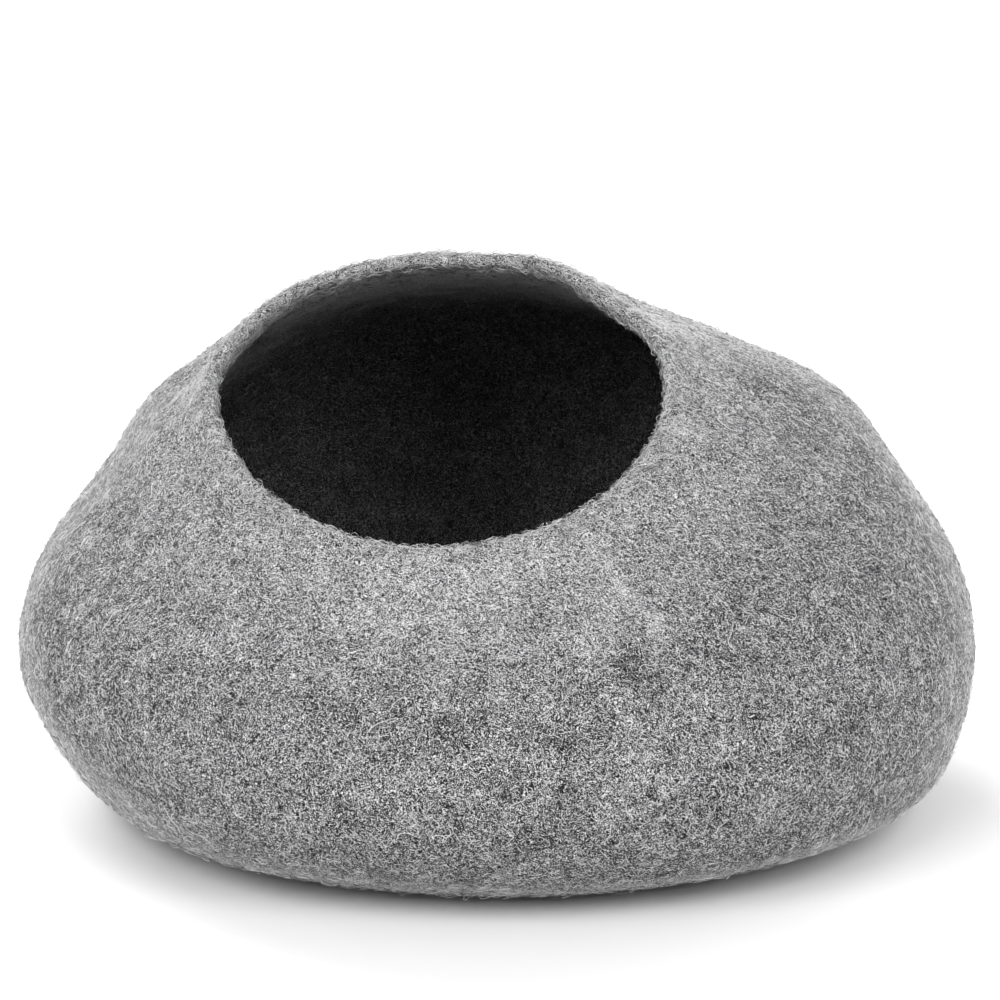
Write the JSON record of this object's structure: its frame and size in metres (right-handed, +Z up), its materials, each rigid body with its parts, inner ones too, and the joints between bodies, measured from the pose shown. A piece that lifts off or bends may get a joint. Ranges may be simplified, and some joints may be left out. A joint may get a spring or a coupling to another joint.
{
  "type": "felt cat cave",
  "caption": "Hollow one-piece cave of thick wool felt for a cat: flat base, low bulging sides and a round mouth that leans to the front.",
  "frame": {"origin": "on the floor under the middle of the shell's bounding box, at the middle of the flat base", "axes": "+Z up, +X to the right as one faces the mouth, -Y to the front, where the mouth's low side is"},
  "size_m": [0.5002, 0.4784, 0.2766],
  "materials": {
    "felt": "thick wet-felted wool, heather grey of pale and dark fibres, matt, with loose curly hairs"
  },
  "bodies": {
    "root": {"felt_shell": "felt"}
  },
  "joints": []
}
